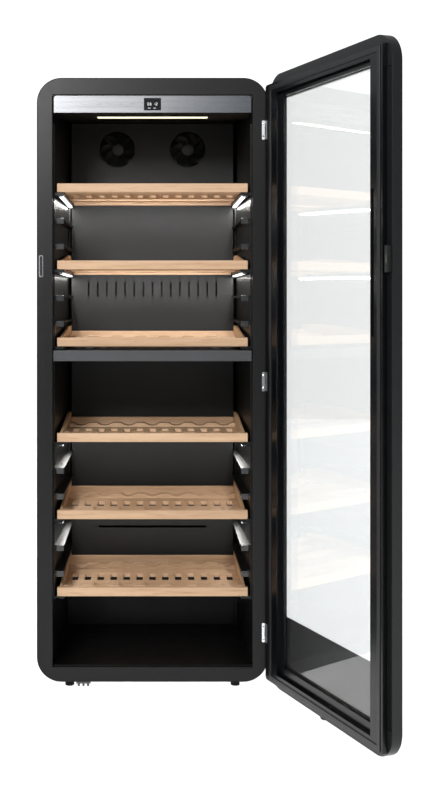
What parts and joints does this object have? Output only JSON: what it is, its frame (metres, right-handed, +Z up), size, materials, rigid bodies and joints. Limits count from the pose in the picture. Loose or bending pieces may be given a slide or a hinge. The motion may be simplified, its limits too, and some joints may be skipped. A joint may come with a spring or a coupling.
{
  "type": "wine cooler",
  "caption": "Tall free-standing wine cooler with rounded corners, two cooled zones, sliding wooden shelves, lit interior and a glazed door open on its side hinges.",
  "frame": {"origin": "middle of the base plate's flat underside, 22 mm above the floor", "axes": "+Z up, +Y to the back, +X to the hinge side on the right as one faces the door opening"},
  "size_m": [0.9727, 1.3136, 1.85],
  "materials": {
    "casing": "satin dark grey paint",
    "front_trim": "satin dark grey paint, darker toward the foot",
    "insulation": "rigid foam",
    "liner": "fine matt grain",
    "galvanised": "zinc-coated sheet",
    "rubber": "matt black",
    "black_steel": "semi-gloss black paint",
    "duct_grey": "satin",
    "divider": "satin metallic grey",
    "lamp": "lit diffuser",
    "circuit_board": "solder mask",
    "brushed_metal": "brushed along its length",
    "display": "polished black",
    "beech": "oiled beech",
    "chrome": "polished",
    "door_paint": "satin near-black paint",
    "door_plastic": "smooth near-black",
    "clear_glass": "clear, polished"
  },
  "bodies": {
    "cabinet": {"outer_shell": "casing", "front_bezel": "front_trim", "foam_insulation": "insulation", "inner_liner": "liner", "rear_panel": "galvanised", "base_plate": "galvanised", "rear_foot_left": "rubber", "rear_foot_right": "rubber", "spare_hinge_plate": "black_steel", "compressor": "black_steel", "condenser_coil": "black_steel", "rear_grille": "galvanised", "power_inlet": "rubber", "evaporator_plate": "galvanised", "upper_duct_panel": "duct_grey", "lower_duct_panel": "duct_grey", "fan_frame_left": "rubber", "fan_frame_right": "rubber", "zone_divider": "divider", "divider_light": "lamp", "control_box": "liner", "control_board": "circuit_board", "control_fascia": "brushed_metal", "display_window": "display", "ceiling_light": "lamp", "side_rail_upper_left": "liner", "side_rail_lower_left": "liner", "side_light_upper_left": "lamp", "side_light_lower_left": "lamp", "side_rail_upper_right": "liner", "side_rail_lower_right": "liner", "side_light_upper_right": "lamp", "side_light_lower_right": "lamp", "strike_plate": "chrome", "hinge_bracket_upper": "chrome", "hinge_bracket_middle": "chrome", "hinge_bracket_lower": "chrome"},
    "door": {"door_frame": "door_paint", "door_liner": "door_plastic", "door_gasket": "rubber", "glass_outer": "clear_glass", "glass_inner": "clear_glass", "glass_spacer": "brushed_metal", "handle_cup": "door_paint", "door_glide": "rubber", "door_hinge_ear_upper": "chrome", "door_hinge_ear_middle": "chrome", "door_hinge_ear_lower": "chrome"},
    "lock_barrel": {"lock_barrel": "chrome"},
    "lock_bolt": {"lock_bolt": "chrome"},
    "shelf_1": {"wine_shelf_1": "beech"},
    "shelf_2": {"wine_shelf_2": "beech"},
    "shelf_3": {"wine_shelf_3": "beech"},
    "shelf_4": {"wine_shelf_4": "beech"},
    "shelf_5": {"wine_shelf_5": "beech"},
    "shelf_6": {"wine_shelf_6": "beech"},
    "fan_left": {"fan_rotor_left": "duct_grey"},
    "levelling_foot_left": {"levelling_foot_left": "rubber"},
    "fan_right": {"fan_rotor_right": "duct_grey"},
    "levelling_foot_right": {"levelling_foot_right": "rubber"}
  },
  "joints": [
    {"name": "door_hinge", "type": "hinge", "parent": "cabinet", "child": "door", "pos_m": [0.345, -0.3292, 0.909], "axis": [0, 0, 1], "range_deg": [-110.5, 7.5]},
    {"name": "shelf_1_slide", "type": "slide", "parent": "cabinet", "child": "shelf_1", "axis": [0, -1, 0], "range_m": [0, 0.3]},
    {"name": "shelf_2_slide", "type": "slide", "parent": "cabinet", "child": "shelf_2", "axis": [0, -1, 0], "range_m": [0, 0.3]},
    {"name": "shelf_3_slide", "type": "slide", "parent": "cabinet", "child": "shelf_3", "axis": [0, -1, 0], "range_m": [0, 0.3]},
    {"name": "shelf_4_slide", "type": "slide", "parent": "cabinet", "child": "shelf_4", "axis": [0, -1, 0], "range_m": [0, 0.3]},
    {"name": "shelf_5_slide", "type": "slide", "parent": "cabinet", "child": "shelf_5", "axis": [0, -1, 0], "range_m": [0, 0.3]},
    {"name": "shelf_6_slide", "type": "slide", "parent": "cabinet", "child": "shelf_6", "axis": [0, -1, 0], "range_m": [0, 0.3]},
    {"name": "fan_left_spin", "type": "hinge", "parent": "cabinet", "child": "fan_left", "pos_m": [-0.12, 0.16, 1.669], "axis": [0, 1, 0], "continuous": true},
    {"name": "fan_right_spin", "type": "hinge", "parent": "cabinet", "child": "fan_right", "pos_m": [0.12, 0.16, 1.669], "axis": [0, 1, 0], "continuous": true},
    {"name": "levelling_foot_left_turn", "type": "hinge", "parent": "cabinet", "child": "levelling_foot_left", "pos_m": [-0.253, -0.275, 0], "axis": [0, 0, -1], "range_deg": [0, 2880]},
    {"name": "levelling_foot_right_turn", "type": "hinge", "parent": "cabinet", "child": "levelling_foot_right", "pos_m": [0.253, -0.275, 0], "axis": [0, 0, -1], "range_deg": [0, 2880]},
    {"name": "lock_barrel_turn", "type": "hinge", "parent": "door", "child": "lock_barrel", "pos_m": [0.61831, -0.95512, 1.258], "axis": [-0.9367, -0.3502, 0], "range_deg": [0, 90]},
    {"name": "lock_bolt_slide", "type": "slide", "parent": "door", "child": "lock_bolt", "axis": [-0.9367, -0.3502, 0], "range_m": [0, 0.014]}
  ],
  "couplings": [
    {"joint": "lock_barrel_turn", "follows": "lock_bolt_slide", "rad_per_m": 112.2}
  ]
}
